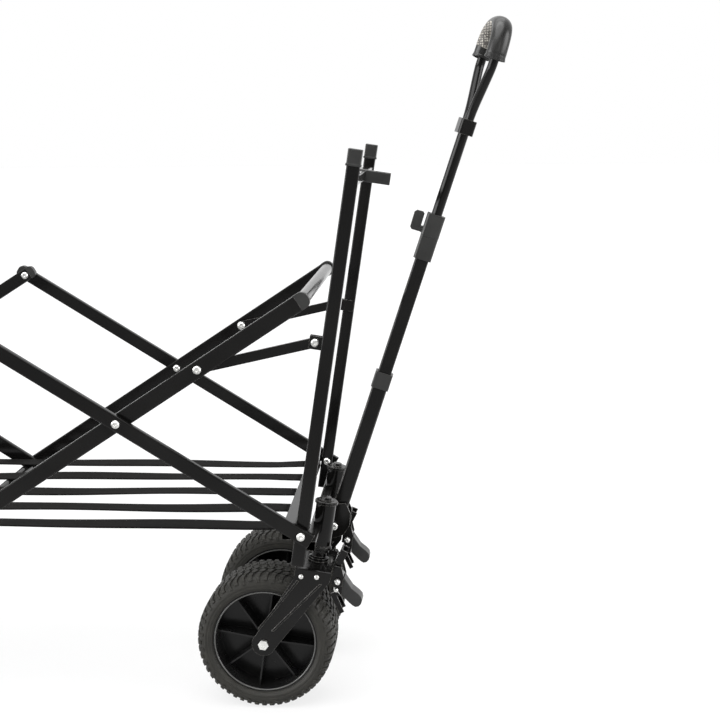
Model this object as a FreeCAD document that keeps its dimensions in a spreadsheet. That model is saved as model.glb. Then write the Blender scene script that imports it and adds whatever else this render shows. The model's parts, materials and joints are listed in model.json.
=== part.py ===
import FreeCAD, Part
import math
import os
import Sketcher

# Folding camp wagon frame. X is forward (handle end), Y is left, Z is up, millimetres.
# Modelled from the ground point midway between the foot bolts, then moved by origin_x.

doc = FreeCAD.newDocument("camp_wagon")
V = FreeCAD.Vector

# ---------------------------------------------------------------- sizes
SIZES = {
    # folding linkage, in the side plane
    "bolt_height": 311.7, "bar_angle": 32, "half_a": 323, "half_b": 327.4, "b_angle": 33.21,
    "lean": 8.6, "rear_shift": 12,
    # tubes
    "post_size": 20, "post_wall": 1.5, "post_tail": 50, "post_reach": 555, "rear_tail": 78,
    "a_depth": 22, "a_thick": 12, "b_depth": 25, "b_thick": 11, "bar_wall": 1.3,
    "rail_size": 16, "strap_rail_size": 20, "corner": 2.5,
    "post_y": 239.5, "a_y": 256, "b_y": 243.5, "link_y": 233.6,
    "a_tail": 17, "a_nose": 8, "b_tail": 10, "b_nose": 327, "end_cap": 11,
    "e_tube_at": 333, "e_tube_radius": 10, "hub_tube_radius": 8, "hub_tube_wall": 3.7,
    "tube_wall": 1.5,
    # side links and their brackets
    "link_at": 146, "link_length": 182, "link_width": 15.4, "link_thick": 6,
    "bracket_back": 20, "bracket_up": 290.7, "bracket_height": 20, "bracket_plate": 2.5,
    # end frames
    "top_rail_at": 534, "lower_rail_out": 14.4, "lower_rail_at": -21.6, "strap_rail_x": 526,
    "cap_height": 25, "cap_size": 21.4, "cap_plug": 14,
    # webbing
    "strap_width": 47, "strap_thick": 2, "strap_pitch": 101, "strap_rest": 0.6,
    # bolts
    "bolt_r": 4, "bolt_hole_r": 4.3, "bolt_head_r": 6.6, "bolt_head_t": 3.6, "hub_hole_r": 5.9,
    # swivel casters
    "swivel_out": 24.8, "swivel_y": 117, "swivel_yaw": 1.6, "head_r": 16, "head_bore": 11,
    "head_top": 23, "head_bottom": -57, "flange_r": 18.4, "stem_r": 8, "neck_r": 14,
    "fork_top": -76, "fork_plate": 4, "fork_half": 59.4, "fork_inner": 56.2, "fork_end_r": 19,
    "trail": 62.8, "axle_drop": 209.7, "axle_r": 5,
    "rear_fork_top": -78.4, "rear_axle_out": 3.4, "rear_axle_drop": 203.48, "rear_wheel_y": 236.9,
    # wheels
    "tyre_r": 110, "tyre_half": 52, "rim_r": 84, "rim_inner_r": 79.2, "rim_half": 45,
    "hub_r": 17, "hub_half": 54, "hub_bore": 5.4, "rib_count": 8, "rib_thick": 2.6, "web_half": 3,
    # foot brake
    "brake_x": 36.5, "brake_z": -100.5, "brake_half": 15, "rivet_r": 2.6,
    # pull pole
    "pole_x": 579, "pole_z": 259.7, "pole_lean": 18.35, "lower_size": 25.4, "lower_start": 15,
    "lower_end": 252, "middle_size": 22.4, "middle_start": 198, "middle_end": 482,
    "upper_r": 8.75, "upper_start": 395, "upper_end": 686, "pole_wall": 1.3,
    "grip_half": 46, "yoke_r": 7.4, "grip_a": 16, "grip_b": 13, "yoke_twist": 11,
    "clip_slot": 19, "clip_width": 25.4, "clip_height": 19, "clip_reach": 48,
    # distance from the modelling origin forward to the middle of the whole wagon
    "origin_x": 111.54,
}
sizes = doc.addObject("Spreadsheet::Sheet", "sizes")
for number, (word, value) in enumerate(SIZES.items(), start=1):
    sizes.set("A%d" % number, word)
    sizes.set("B%d" % number, str(value))
    sizes.setAlias("B%d" % number, word)
doc.recompute()


def size(word):
    return float(sizes.get(word))


def turn(axis, degrees):
    return FreeCAD.Rotation(V(*axis), degrees)


def frame(x=0.0, y=0.0, z=0.0, rotation=None):
    return FreeCAD.Placement(V(x, y, z), rotation or FreeCAD.Rotation())


# ---------------------------------------------------------------- modelling helpers
def new_body(label):
    body = doc.addObject("PartDesign::Body", label)
    body.Label = label
    return body


def sketch(body, plane, offset=None):
    """A sketch on one of the body's own origin planes."""
    drawing = body.newObject("Sketcher::SketchObject", "Sketch")
    for feature in body.Origin.OriginFeatures:
        if feature.Role == plane:
            drawing.AttachmentSupport = [(feature, "")]
    drawing.MapMode = "FlatFace"
    if offset is not None:
        drawing.AttachmentOffset = frame(0, 0, 0)
        drawing.setExpression("AttachmentOffset.Base.z", offset)
    return drawing


def bind(drawing, kind, *where, to):
    index = drawing.addConstraint(Sketcher.Constraint(kind, *where, 1.0))
    drawing.setExpression("Constraints[%d]" % index, to)


def polygon(drawing, points):
    """A closed outline; every corner is a pair of expressions."""
    count = len(points)
    first = drawing.GeometryCount
    ring = [V(10 * math.cos(k * math.tau / count), 10 * math.sin(k * math.tau / count), 0)
            for k in range(count)]
    for k in range(count):
        drawing.addGeometry(Part.LineSegment(ring[k], ring[(k + 1) % count]), False)
    for k in range(count):
        drawing.addConstraint(Sketcher.Constraint(
            "Coincident", first + k, 2, first + (k + 1) % count, 1))
    for k, (across, up) in enumerate(points):
        bind(drawing, "DistanceX", -1, 1, first + k, 1, to=across)
        bind(drawing, "DistanceY", -1, 1, first + k, 1, to=up)


def rectangle(drawing, width, height, across="0", up="0"):
    """A rectangle of expressions, centred on a point."""
    polygon(drawing, [
        ("%s - (%s)/2" % (across, width), "%s - (%s)/2" % (up, height)),
        ("%s + (%s)/2" % (across, width), "%s - (%s)/2" % (up, height)),
        ("%s + (%s)/2" % (across, width), "%s + (%s)/2" % (up, height)),
        ("%s - (%s)/2" % (across, width), "%s + (%s)/2" % (up, height)),
    ])


def circle(drawing, radius, across="0", up="0"):
    index = drawing.addGeometry(Part.Circle(V(0, 0, 0), V(0, 0, 1), 5), False)
    bind(drawing, "Radius", index, to=radius)
    bind(drawing, "DistanceX", -1, 1, index, 3, to=across)
    bind(drawing, "DistanceY", -1, 1, index, 3, to=up)


def pad(body, drawing, length, middle=False):
    feature = body.newObject("PartDesign::Pad", "Pad")
    feature.Profile = drawing
    feature.setExpression("Length", length)
    feature.Midplane = middle
    drawing.Visibility = False
    return feature


def pocket(body, drawing, length=None, middle=False):
    feature = body.newObject("PartDesign::Pocket", "Pocket")
    feature.Profile = drawing
    if length is None:
        feature.Type = "ThroughAll"
    else:
        feature.setExpression("Length", length)
    feature.Midplane = middle
    return feature


def round_edges(body, base, radius, wanted):
    """Fillets the edges of the feature that the test accepts."""
    doc.recompute()
    names = ["Edge%d" % (k + 1) for k, edge in enumerate(base.Shape.Edges) if wanted(edge)]
    feature = body.newObject("PartDesign::Fillet", "Fillet")
    feature.Base = (base, names)
    feature.setExpression("Radius", radius)
    return feature


def along(edge, axis):
    """True for a straight edge that runs along the given direction."""
    if len(edge.Vertexes) != 2 or not isinstance(edge.Curve, Part.Line):
        return False
    return abs(abs(edge.Curve.Direction.dot(V(*axis))) - 1) < 1e-6


def square_tube(label, width, depth, start, length, wall, corner="sizes.corner"):
    """A hollow tube with rounded corners, from start along +Z."""
    body = new_body(label)
    outline = sketch(body, "XY_Plane", start)
    rectangle(outline, width, depth)
    solid = pad(body, outline, length)
    round_edges(body, solid, corner, lambda edge: along(edge, (0, 0, 1)))
    inner = sketch(body, "XY_Plane", start)
    rectangle(inner, "%s - 2*%s" % (width, wall), "%s - 2*%s" % (depth, wall))
    cut = pocket(body, inner, length)
    cut.Reversed = True
    return body


def round_tube(label, radius, wall, start, length):
    body = new_body(label)
    outline = sketch(body, "XY_Plane", start)
    circle(outline, radius)
    circle(outline, "%s - %s" % (radius, wall))
    pad(body, outline, length)
    return body


def holes_across(body, radius, places):
    """Bolt holes through the body along Y, at expressions for X and Z."""
    drawing = sketch(body, "XZ_Plane")
    for across, up in places:
        circle(drawing, radius, across, up)
    return pocket(body, drawing, middle=True)


def turned(label, outline, axis="V_Axis", plane="XZ_Plane"):
    """A turned piece from its half outline."""
    body = new_body(label)
    drawing = sketch(body, plane)
    polygon(drawing, outline)
    feature = body.newObject("PartDesign::Revolution", "Revolution")
    feature.Profile = drawing
    feature.ReferenceAxis = (drawing, [axis])
    feature.Angle = 360
    return body


def bolt(label, length, shank="sizes.bolt_r", head="sizes.bolt_head_r"):
    """A button-headed bolt with a matching nut head, grip centred on its own origin, along Z."""
    cap = "sizes.bolt_head_t"
    return turned(label, [
        ("0", "-%s/2 - %s + 1" % (length, cap)), ("1.6", "-%s/2 - %s + 1" % (length, cap)),
        ("2.4", "-%s/2 - %s" % (length, cap)), ("%s - 2.2" % head, "-%s/2 - %s" % (length, cap)),
        ("%s - 0.6" % head, "-%s/2 - %s*0.6" % (length, cap)), (head, "-%s/2" % length),
        (shank, "-%s/2" % length), (shank, "%s/2" % length), (head, "%s/2" % length),
        ("%s - 0.6" % head, "%s/2 + %s*0.6" % (length, cap)),
        ("%s - 2.2" % head, "%s/2 + %s" % (length, cap)), ("2.4", "%s/2 + %s" % (length, cap)),
        ("1.6", "%s/2 + %s - 1" % (length, cap)), ("0", "%s/2 + %s - 1" % (length, cap)),
    ])


def stud(label, length):
    """A bolt with a single head, at its low end; grip centred on its own origin, along Z."""
    cap = "sizes.bolt_head_t"
    return turned(label, [
        ("0", "-%s/2 - %s + 1" % (length, cap)), ("1.6", "-%s/2 - %s + 1" % (length, cap)),
        ("2.4", "-%s/2 - %s" % (length, cap)), ("sizes.bolt_head_r - 2.2", "-%s/2 - %s" % (length, cap)),
        ("sizes.bolt_head_r - 0.6", "-%s/2 - %s*0.6" % (length, cap)), ("sizes.bolt_head_r", "-%s/2" % length),
        ("sizes.bolt_r", "-%s/2" % length), ("sizes.bolt_r", "%s/2" % length), ("0", "%s/2" % length),
    ])


def rivet(label, length, shank, head):
    """A dome-headed rivet, grip centred on its own origin, along Z."""
    outline = [("0", "-(%s)/2 - 2" % length), ("%s*0.6" % head, "-(%s)/2 - 1.7" % length),
               (head, "-(%s)/2" % length), (shank, "-(%s)/2" % length)]
    outline += [(shank, "(%s)/2" % length), (head, "(%s)/2" % length),
                ("%s*0.6" % head, "(%s)/2 + 1.7" % length), ("0", "(%s)/2 + 2" % length)]
    return turned(label, outline)


def put(item, placement):
    item.Placement = placement
    return item


def mirrored(item):
    other = doc.addObject("Part::Mirroring", item.Label + "_left")
    other.Source = item
    other.Normal = V(0, 1, 0)
    return other


def group(label, items):
    """One node: several separate solids."""
    node = doc.addObject("Part::Compound", label)
    node.Label = label
    node.Links = items
    nodes.append(node)
    return node


def pair(label, right_items):
    """One node with the pieces on the right and the same ones on the left."""
    return group(label, right_items + [mirrored(item) for item in right_items])


def single(item):
    nodes.append(item)
    return item


nodes = []

# ---------------------------------------------------------------- reference frames
ALONG_Y = turn((1, 0, 0), -90)
ANGLE = math.radians(size("bar_angle"))
B_ANGLE = math.radians(size("b_angle"))
FOOT_X = 2 * size("half_a") * math.cos(ANGLE)
CROSS_X = size("half_a") * math.cos(ANGLE)
CROSS_Z = size("bolt_height") + size("half_a") * math.sin(ANGLE)
REAR = frame(0, 0, 0, turn((0, 0, 1), 180))

post_frame = frame(FOOT_X, 0, size("bolt_height"), turn((0, 1, 0), size("lean")))
a_frame = frame(CROSS_X, 0, CROSS_Z, turn((0, 1, 0), -90 + size("bar_angle")))
b_frame = frame(CROSS_X, 0, CROSS_Z, turn((0, 1, 0), 90 - size("b_angle")))
pole_frame = frame(size("pole_x"), 0, size("pole_z"), turn((0, 1, 0), size("pole_lean")))


def side(base, offset, end=None):
    """The frame moved to a side plane on the right; the rear end sits further inboard."""
    inboard = size("rear_shift") if end is REAR else 0
    moved = base.multiply(frame(0, -(size(offset) - inboard), 0))
    return end.multiply(moved) if end is REAR else moved


def across(base, x, z, length, y=0.0, end=None):
    """A frame whose Z lies along Y, centred at a point of the base frame."""
    moved = base.multiply(frame(x, y, z, ALONG_Y))
    return end.multiply(moved) if end is REAR else moved


LINK_TO = post_frame.multVec(V(-size("bracket_back"), 0, size("bracket_up")))
LINK_FROM = b_frame.multVec(V(0, 0, size("link_at")))
LINK_GAP = (LINK_FROM - LINK_TO).Length
sizes.set("B%d" % (list(SIZES).index("link_length") + 1), "%.4f" % LINK_GAP)
doc.recompute()


# ---------------------------------------------------------------- end frames: posts, caps, rails
def post(label, tail):
    body = square_tube(label, "sizes.post_size", "sizes.post_size", "-%s" % tail,
                       "sizes.post_reach + %s" % tail, "sizes.post_wall")
    holes_across(body, "sizes.bolt_hole_r", [("0", "0")])
    return body


def post_cap(label):
    body = new_body(label)
    outline = sketch(body, "XY_Plane", "sizes.post_reach + 3.2")
    rectangle(outline, "sizes.cap_size", "sizes.cap_size")
    solid = pad(body, outline, "sizes.cap_height - 3.2")
    solid = round_edges(body, solid, "2.2", lambda edge: along(edge, (0, 0, 1)))
    solid = round_edges(body, solid, "1.4", lambda edge: edge.BoundBox.ZMin > size("post_reach") + 20
                        and edge.BoundBox.ZLength < 0.01)
    collar = sketch(body, "XY_Plane", "sizes.post_reach")
    rectangle(collar, "sizes.cap_size + 1.6", "sizes.cap_size + 1.6")
    pad(body, collar, "3.2")
    plug = sketch(body, "XY_Plane", "sizes.post_reach - sizes.cap_plug")
    rectangle(plug, "sizes.post_size - 2*sizes.post_wall - 0.4", "sizes.post_size - 2*sizes.post_wall - 0.4")
    pad(body, plug, "sizes.cap_plug")
    notch = sketch(body, "YZ_Plane")
    circle(notch, "2.2", "0", "sizes.post_reach + 16")
    cut = pocket(body, notch, "sizes.cap_size")
    cut.Reversed = True
    return body


def link_bracket(label):
    """Two cheeks and a back plate on the post, holding the end of the side link."""
    body = new_body(label)
    back, plate = "-sizes.post_size/2", "sizes.bracket_plate"
    inner = "(sizes.post_y - sizes.post_size/2)"
    low, high = "sizes.bracket_up - sizes.bracket_height/2", "sizes.bracket_up + sizes.bracket_height/2"
    outline = sketch(body, "XY_Plane", low)
    tail = "-sizes.bracket_back - 9"
    rear = "%s - 1.2" % back
    outside = "-%s - 10.2" % inner
    polygon(outline, [
        (tail, "-%s" % inner + " + 3"), ("sizes.post_size/2 - 1", "-%s + 3" % inner),
        ("sizes.post_size/2 - 1", "-%s" % inner), (back, "-%s" % inner),
        (back, outside), (tail, outside), (tail, "%s + %s" % (outside, plate)),
        (rear, "%s + %s" % (outside, plate)), (rear, "-%s + 3 - %s" % (inner, plate)),
        (tail, "-%s + 3 - %s" % (inner, plate)),
    ])
    pad(body, outline, "sizes.bracket_height")
    holes_across(body, "sizes.bolt_hole_r", [("-sizes.bracket_back", "sizes.bracket_up")])
    return body


def cross_rail(label, section, half, end=None):
    body = square_tube(label, section, section, "-(%s)" % half, "2*(%s)" % half, "1.4")
    return body


INNER = "(sizes.post_y - sizes.post_size/2)"
REAR_INNER = "(sizes.post_y - sizes.rear_shift - sizes.post_size/2)"
RAIL_AT_LOWER = (size("lower_rail_out"), size("lower_rail_at"))
strap_rail_frame = frame(size("strap_rail_x"), 0, size("bolt_height") - 2)


def end_frame(word, tail, end, inner):
    """Posts, caps, rails and brackets of one end of the wagon."""
    pair(word + "_posts", [put(post(word + "_post", tail), side(post_frame, "post_y", end))])
    pair(word + "_post_caps", [put(post_cap(word + "_post_cap"), side(post_frame, "post_y", end))])
    top = cross_rail(word + "_top_rail", "sizes.rail_size", inner)
    single(put(top, across(post_frame, 0, size("top_rail_at"), 0, end=end)))
    strap = cross_rail(word + "_strap_rail", "sizes.strap_rail_size", "%s + 8" % inner)
    single(put(strap, across(strap_rail_frame, 0, 0, 0, end=end)))
    shift = size("rear_shift") if end is REAR else 0
    bracket = put(link_bracket(word + "_link_bracket"),
                  (REAR if end is REAR else frame()).multiply(post_frame.multiply(frame(0, shift, 0))))
    pair(word + "_link_brackets", [bracket])


end_frame("front", "sizes.post_tail", None, INNER)
end_frame("rear", "sizes.rear_tail", REAR, REAR_INNER)

# Lower rails: the front one carries the caster heads and the pole bracket.
lower = cross_rail("front_lower_rail", "sizes.rail_size", INNER)
for word, sign in (("right", -1), ("left", 1)):
    seat = sketch(lower, "XZ_Plane")
    circle(seat, "sizes.head_r", "sizes.swivel_out - sizes.lower_rail_out", "%d*sizes.swivel_y" % sign)
    pocket(lower, seat, middle=True)
single(put(lower, across(post_frame, RAIL_AT_LOWER[0], RAIL_AT_LOWER[1], 0)))
rear_lower = cross_rail("rear_lower_rail", "sizes.rail_size", REAR_INNER)
single(put(rear_lower, across(post_frame, 0, RAIL_AT_LOWER[1] - 14, 0, end=REAR)))


# ---------------------------------------------------------------- scissor bars
def bar(label, depth, thick, low, high, holes):
    body = square_tube(label, depth, thick, "-(%s)" % low, "(%s) + (%s)" % (low, high), "sizes.bar_wall")
    for radius, places in holes:
        holes_across(body, radius, places)
    return body


def end_cap(label, depth, thick, start, reach, up=True):
    """A moulded cap with a rounded nose on the end of a bar."""
    body = new_body(label)
    sign = "" if up else "-"
    outline = sketch(body, "XY_Plane", "%s(%s)" % (sign, start))
    rectangle(outline, "%s + 0.8" % depth, "%s" % thick)
    nose = pad(body, outline, reach)
    nose.Reversed = not up
    doc.recompute()
    limit = nose.Shape.BoundBox.ZMax if up else nose.Shape.BoundBox.ZMin
    nose = round_edges(body, nose, "min((%s)*0.8; %s/2 - 1)" % (reach, depth), lambda edge: along(edge, (0, 1, 0))
                       and abs(edge.BoundBox.ZMin - limit) < 0.01)
    plug = sketch(body, "XY_Plane", "%s(%s)" % (sign, start))
    rectangle(plug, "%s - 2*sizes.bar_wall - 0.4" % depth, "%s - 2*sizes.bar_wall - 0.4" % thick)
    inside = pad(body, plug, "3.5")
    inside.Reversed = up
    return body


def scissors(word, end):
    """The two crossed bars of one half of a side, both sides, with caps and bolts."""
    hub_hole = "sizes.hub_hole_r" if end is REAR else "sizes.bolt_hole_r"
    a_low, a_high = "sizes.half_a + sizes.a_tail", "sizes.half_a + sizes.a_nose"
    b_low, b_high = "sizes.half_b + sizes.b_tail", "sizes.b_nose"
    a_bar = bar(word + "_a_bar", "sizes.a_depth", "sizes.a_thick", a_low, a_high, [
        ("sizes.bolt_hole_r", [("0", "0"), ("0", "-sizes.half_a"), ("0", "sizes.half_a")])])
    pair(word + "_a_bars", [put(a_bar, side(a_frame, "a_y", end))])
    a_cap = end_cap(word + "_a_bar_cap", "sizes.a_depth", "sizes.a_thick", a_high, "sizes.end_cap")
    pair(word + "_a_bar_caps", [put(a_cap, side(a_frame, "a_y", end))])
    b_bar = bar(word + "_b_bar", "sizes.b_depth", "sizes.b_thick", b_low, b_high, [
        ("sizes.bolt_hole_r", [("0", "0"), ("0", "sizes.link_at")]), (hub_hole, [("0", "-sizes.half_b")])])
    pair(word + "_b_bars", [put(b_bar, side(b_frame, "b_y", end))])
    caps = [end_cap(word + "_b_bar_cap", "sizes.b_depth", "sizes.b_thick", b_high, "sizes.end_cap + 7"),
            end_cap(word + "_b_bar_foot", "sizes.b_depth", "sizes.b_thick", b_low, "sizes.end_cap - 7", up=False)]
    pair(word + "_b_bar_caps", [put(cap, side(b_frame, "b_y", end)) for cap in caps])
    shift = "sizes.rear_shift" if end is REAR else "0"
    tube = round_tube(word + "_upper_cross_tube", "sizes.e_tube_radius", "sizes.tube_wall",
                      "-(sizes.b_y - %s - sizes.b_thick/2)" % shift, "2*(sizes.b_y - %s) - sizes.b_thick" % shift)
    single(put(tube, across(b_frame, 0, size("e_tube_at"), 0, end=end)))


scissors("front", None)
scissors("rear", REAR)

hub_half = "(sizes.b_y - sizes.rear_shift - sizes.b_thick/2 - 0.5)"
hub_tube = round_tube("centre_cross_tube", "sizes.hub_tube_radius", "sizes.hub_tube_wall",
                      "-%s" % hub_half, "2*%s" % hub_half)
hub_point = b_frame.multVec(V(0, 0, -size("half_b")))
single(put(hub_tube, frame(hub_point.x, 0, hub_point.z, ALONG_Y)))


# ---------------------------------------------------------------- side links
def link(label):
    """A flat bar with round ends and a hole at each end, along +X from its own origin."""
    body = new_body(label)
    outline = sketch(body, "XZ_Plane")
    rectangle(outline, "sizes.link_length", "sizes.link_width", "sizes.link_length/2")
    pad(body, outline, "sizes.link_thick", middle=True)
    for place in ("0", "sizes.link_length"):
        boss = sketch(body, "XZ_Plane")
        circle(boss, "sizes.link_width/2", place)
        pad(body, boss, "sizes.link_thick", middle=True)
    holes_across(body, "sizes.bolt_hole_r", [("0", "0"), ("sizes.link_length", "0")])
    return body


link_slope = math.degrees(math.atan2(LINK_TO.z - LINK_FROM.z, LINK_TO.x - LINK_FROM.x))
link_frame = frame(LINK_FROM.x, 0, LINK_FROM.z, turn((0, 1, 0), -link_slope))
for word, end in (("front", None), ("rear", REAR)):
    link_pin = stud(word + "_link_pin", "sizes.link_thick")
    inboard = size("rear_shift") if end is REAR else 0
    seat = frame(LINK_FROM.x, -(size("link_y") - inboard), LINK_FROM.z, turn((1, 0, 0), 90))
    pair(word + "_links", [put(link(word + "_link"), side(link_frame, "link_y", end)),
                           put(link_pin, REAR.multiply(seat) if end is REAR else seat)])


# ---------------------------------------------------------------- bolts of the linkage
def side_bolt(label, grip, middle_y, base, x, z, end=None, kind=bolt):
    """A bolt along Y whose grip is centred on a side plane."""
    inboard = size("rear_shift") if end is REAR else 0
    piece = kind(label, grip)
    return put(piece, across(base, x, z, 0, y=-(middle_y - inboard), end=end))


A_OUT = size("a_y") + size("a_thick") / 2
A_IN = size("a_y") - size("a_thick") / 2
B_OUT = size("b_y") + size("b_thick") / 2
B_IN = size("b_y") - size("b_thick") / 2
POST_IN = size("post_y") - size("post_size") / 2
LINK_IN = size("link_y") - size("link_thick") / 2
CHEEK_OUT = POST_IN + 10.2
SHIFT = size("rear_shift")
HUB_GRIP = 20

frame_bolts = {}
for word, end in (("front", None), ("rear", REAR)):
    frame_bolts[word] = []
    for piece in (
            side_bolt(word + "_foot_bolt", "%g" % (A_OUT - POST_IN), (A_OUT + POST_IN) / 2, post_frame, 0, 0, end),
            side_bolt(word + "_bracket_bolt", "%g" % (CHEEK_OUT - POST_IN + 3), (CHEEK_OUT + POST_IN - 3) / 2,
                      post_frame, -size("bracket_back"), size("bracket_up"), end)):
        frame_bolts[word] += [piece, mirrored(piece)]
frame_bolts["front"].append(put(bolt("pole_pin", "38.6"), pole_frame.multiply(frame(0, 0, 0, ALONG_Y))))
group("front_frame_bolts", frame_bolts["front"])
pair("front_a_bar_bolts", [
    side_bolt("front_cross_bolt", "%g" % (A_OUT - B_IN), (A_OUT + B_IN) / 2, a_frame, 0, 0),
    side_bolt("top_hub_bolt", "%g" % (A_OUT - A_IN + SHIFT + 0.2), (A_OUT + A_IN - SHIFT - 0.2) / 2,
              a_frame, 0, size("half_a"))])
pair("rear_a_bar_bolts", [
    side_bolt("rear_cross_bolt", "%g" % (A_OUT - B_IN), (A_OUT + B_IN) / 2, a_frame, 0, 0, REAR)])
pair("front_b_bar_bolts", [
    side_bolt("front_link_bolt", "%g" % (B_OUT - B_IN), (B_OUT + B_IN) / 2, b_frame, 0, size("link_at"),
              kind=stud),
    side_bolt("bottom_hub_bolt", "%g" % (B_OUT - B_IN + SHIFT + HUB_GRIP), (B_OUT + B_IN - SHIFT - HUB_GRIP) / 2,
              b_frame, 0, -size("half_b"), kind=stud)])
pair("rear_b_bar_bolts", [
    side_bolt("rear_link_bolt", "%g" % (B_OUT - B_IN), (B_OUT + B_IN) / 2, b_frame, 0, size("link_at"), REAR,
              kind=stud)])

# ---------------------------------------------------------------- floor straps
straps = []
for number in range(5):
    strap = new_body("floor_strap_%d" % (number + 1))
    outline = sketch(strap, "XY_Plane")
    reach = "2*(sizes.strap_rail_x - sizes.strap_rail_size/2 - 0.4)"
    rectangle(outline, reach, "sizes.strap_width")
    pad(strap, outline, "sizes.strap_thick")
    straps.append(put(strap, frame(0, (number - 2) * size("strap_pitch"),
                                   size("bolt_height") + size("strap_rest"))))
group("floor_straps", straps)


# ---------------------------------------------------------------- wheels
def tyre(label):
    half, outer, inner = "sizes.tyre_half", "sizes.tyre_r", "sizes.rim_r"
    side_points = [(inner, "%s - 4" % half), ("%s + 7" % inner, "%s - 1" % half),
                   ("%s - 9" % outer, half), ("%s - 3.5" % outer, "%s - 5" % half),
                   ("%s - 0.8" % outer, "%s - 16" % half), (outer, "%s - 30" % half)]
    outline = [(radius, "-(%s)" % width) for radius, width in side_points]
    outline += [(radius, width) for radius, width in reversed(side_points)]
    return turned(label, outline)


def wheel_hub(label):
    """Rim barrel, mid web, centre boss and radial ribs."""
    body = turned(label, [
        ("sizes.hub_bore", "-sizes.hub_half"), ("sizes.hub_r - 4", "-sizes.hub_half"),
        ("sizes.hub_r", "-sizes.hub_half + 16"), ("sizes.hub_r + 2", "-sizes.web_half"),
        ("sizes.rim_inner_r", "-sizes.web_half"), ("sizes.rim_inner_r", "-sizes.rim_half"),
        ("sizes.rim_r - 0.1", "-sizes.rim_half"), ("sizes.rim_r - 0.1", "sizes.rim_half"),
        ("sizes.rim_inner_r", "sizes.rim_half"), ("sizes.rim_inner_r", "sizes.web_half"),
        ("sizes.hub_r + 2", "sizes.web_half"), ("sizes.hub_r", "sizes.hub_half - 16"),
        ("sizes.hub_r - 4", "sizes.hub_half"), ("sizes.hub_bore", "sizes.hub_half")])
    rib = sketch(body, "XZ_Plane")
    polygon(rib, [("sizes.hub_r - 2", "-sizes.hub_half + 18"), ("sizes.rim_inner_r + 1", "-sizes.rim_half + 14"),
                  ("sizes.rim_inner_r + 1", "sizes.rim_half - 14"), ("sizes.hub_r - 2", "sizes.hub_half - 18")])
    fin = pad(body, rib, "sizes.rib_thick", middle=True)
    ring = body.newObject("PartDesign::PolarPattern", "Ribs")
    ring.Originals = [fin]
    ring.Axis = (rib, ["V_Axis"])
    ring.Angle = 360
    ring.setExpression("Occurrences", "sizes.rib_count")
    body.Tip = ring
    return body


# ---------------------------------------------------------------- wheel forks
def fork(label, head_low, head_high, top, axle_out, axle_drop, face):
    """A pressed fork: a head plate and two cheeks that run down to the axle."""
    body = new_body(label)
    outline = sketch(body, "XZ_Plane")
    end_r, drop, plate = "sizes.fork_end_r", "-(%s)" % axle_drop, "sizes.fork_plate"
    polygon(outline, [
        (head_low, top), (head_high, top), (head_high, "%s - 15" % top),
        ("%s + %s*0.86" % (axle_out, end_r), "%s - %s*0.45" % (drop, end_r)),
        ("%s - %s*0.86" % (axle_out, end_r), "%s + %s*0.45" % (drop, end_r)),
        (head_low, "%s - 18" % top)])
    solid = pad(body, outline, "2*sizes.fork_half", middle=True)
    round_edges(body, solid, "2.2", lambda edge: edge.BoundBox.YLength < 0.01
                and edge.BoundBox.ZMin > solid.Shape.BoundBox.ZMax - 1)
    ring = sketch(body, "XZ_Plane")
    circle(ring, end_r, axle_out, drop)
    pad(body, ring, "2*sizes.fork_half", middle=True)
    gap = sketch(body, "YZ_Plane")
    rectangle(gap, "2*sizes.fork_inner", "%s + sizes.fork_end_r + 20" % axle_drop,
              "0", "%s - %s - (%s + sizes.fork_end_r + 20)/2" % (top, plate, axle_drop))
    pocket(body, gap, middle=True)
    holes_across(body, "sizes.axle_r + 0.2", [(axle_out, drop)])
    for rail_low, rail_high, foot_shift in face:
        rib = sketch(body, "XZ_Plane")
        polygon(rib, [(rail_low, "%s - 21" % top), (rail_high, "%s - 21" % top),
                      ("%s + %s + 2" % (axle_out, foot_shift), "%s + 24" % drop),
                      ("%s + %s - 2" % (axle_out, foot_shift), "%s + 24" % drop)])
        pad(body, rib, "2*sizes.fork_half + 2.6", middle=True)
    inside = sketch(body, "YZ_Plane")
    rectangle(inside, "2*sizes.fork_inner", "%s + sizes.fork_end_r + 20" % axle_drop,
              "0", "%s - %s - (%s + sizes.fork_end_r + 20)/2" % (top, plate, axle_drop))
    pocket(body, inside, middle=True)
    return body


def axle(label):
    """Axle bolt with a hexagon head and nut."""
    body = new_body(label)
    rod = sketch(body, "XY_Plane", "-sizes.fork_half")
    circle(rod, "sizes.axle_r")
    pad(body, rod, "2*sizes.fork_half")
    for start in ("sizes.fork_half", "-sizes.fork_half - 5.5"):
        head = sketch(body, "XY_Plane", start)
        points = []
        for k in range(6):
            points.append(("8.4*cos(%d deg)" % (60 * k), "8.4*sin(%d deg)" % (60 * k)))
        polygon(head, points)
        pad(body, head, "5.5")
    return body


swivel = {}
for word, sign, yaw in (("right", -1, -size("swivel_yaw")), ("left", 1, 0)):
    swivel[word] = post_frame.multiply(
        frame(size("swivel_out"), sign * size("swivel_y"), 0, turn((0, 0, 1), yaw)))


def head_tube(label):
    rim, bottom = "sizes.flange_r", "sizes.head_bottom"
    return turned(label, [
        ("sizes.head_bore + 0.6", bottom), ("%s - 1" % rim, bottom), (rim, "%s + 1.5" % bottom),
        (rim, "%s + 5" % bottom), ("sizes.head_r", "%s + 6.5" % bottom),
        ("sizes.head_r", "sizes.head_top - 6"), (rim, "sizes.head_top - 4.5"),
        (rim, "sizes.head_top - 1"), ("%s - 1" % rim, "sizes.head_top"),
        ("sizes.head_bore + 0.6", "sizes.head_top")])


pair("caster_head_tubes", [put(head_tube("caster_head_tube"), post_frame.multiply(
    frame(size("swivel_out"), -size("swivel_y"), 0)))])


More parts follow.
